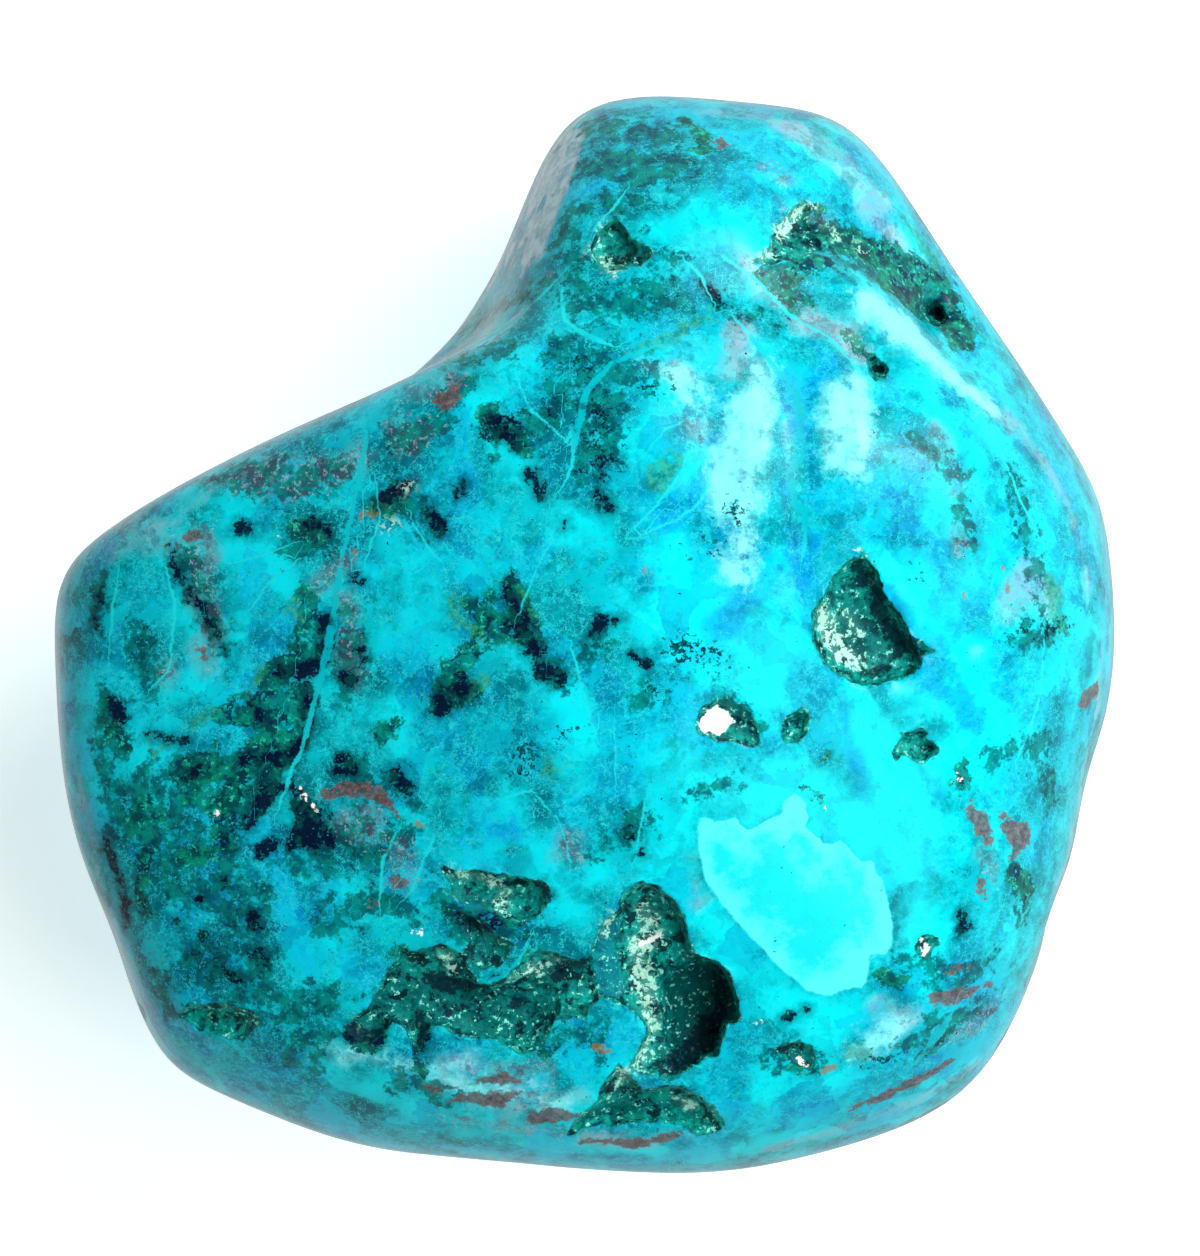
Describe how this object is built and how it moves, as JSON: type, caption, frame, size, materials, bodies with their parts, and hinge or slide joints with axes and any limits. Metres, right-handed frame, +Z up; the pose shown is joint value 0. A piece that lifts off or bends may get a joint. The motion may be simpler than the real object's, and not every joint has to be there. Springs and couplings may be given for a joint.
{
  "type": "turquoise stone",
  "caption": "Palm-sized polished freeform stone, a broad rounded lump with a narrower neck, scattered rough vugs and a flat resting face underneath.",
  "frame": {"origin": "centre of the bounding box in plan, on the surface that the stone rests on", "axes": "+Z up through the broad face, +Y towards the neck, +X to the right of the broad face"},
  "size_m": [0.0604, 0.061, 0.0346],
  "materials": {
    "turquoise": "polished, with matt vugs"
  },
  "bodies": {
    "root": {"turquoise_stone": "turquoise"}
  },
  "joints": []
}
